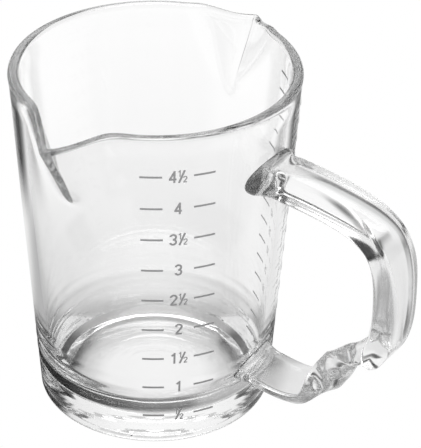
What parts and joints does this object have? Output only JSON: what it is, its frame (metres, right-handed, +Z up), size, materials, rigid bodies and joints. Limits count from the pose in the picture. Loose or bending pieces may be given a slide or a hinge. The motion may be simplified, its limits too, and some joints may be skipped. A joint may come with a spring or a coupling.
{
  "type": "glass measuring cup",
  "caption": "Small clear glass measuring cup with two pinched pouring spouts, a fused loop handle wrung in its lower leg, and fired scales of lines and numerals on both sides.",
  "frame": {"origin": "middle of the underside of the base", "axes": "+Z up along the cup's own axis, +X towards the handle, the two spouts along +Y and -Y"},
  "size_m": [0.0761, 0.0612, 0.064],
  "materials": {
    "cup_glass": "fire-polished clear glass",
    "handle_glass": "fire-polished clear glass, drawn by hand",
    "fired_print": "grey enamel fired on the glass"
  },
  "bodies": {
    "root": {"cup_body": "cup_glass", "handle": "handle_glass", "front_mark_half": "fired_print", "front_mark_1": "fired_print", "front_mark_1_half": "fired_print", "front_mark_2": "fired_print", "front_mark_2_half": "fired_print", "front_mark_3": "fired_print", "front_mark_3_half": "fired_print", "front_mark_4": "fired_print", "front_mark_4_half": "fired_print", "rear_mark_5": "fired_print", "rear_mark_10": "fired_print", "rear_mark_15": "fired_print", "rear_mark_20": "fired_print", "rear_mark_25": "fired_print", "rear_mark_30": "fired_print", "rear_mark_35": "fired_print", "rear_mark_40": "fired_print", "rear_mark_45": "fired_print", "rear_mark_50": "fired_print", "rear_mark_55": "fired_print", "rear_mark_60": "fired_print", "rear_mark_65": "fired_print", "rear_mark_70": "fired_print", "rear_mark_75": "fired_print"}
  },
  "joints": []
}
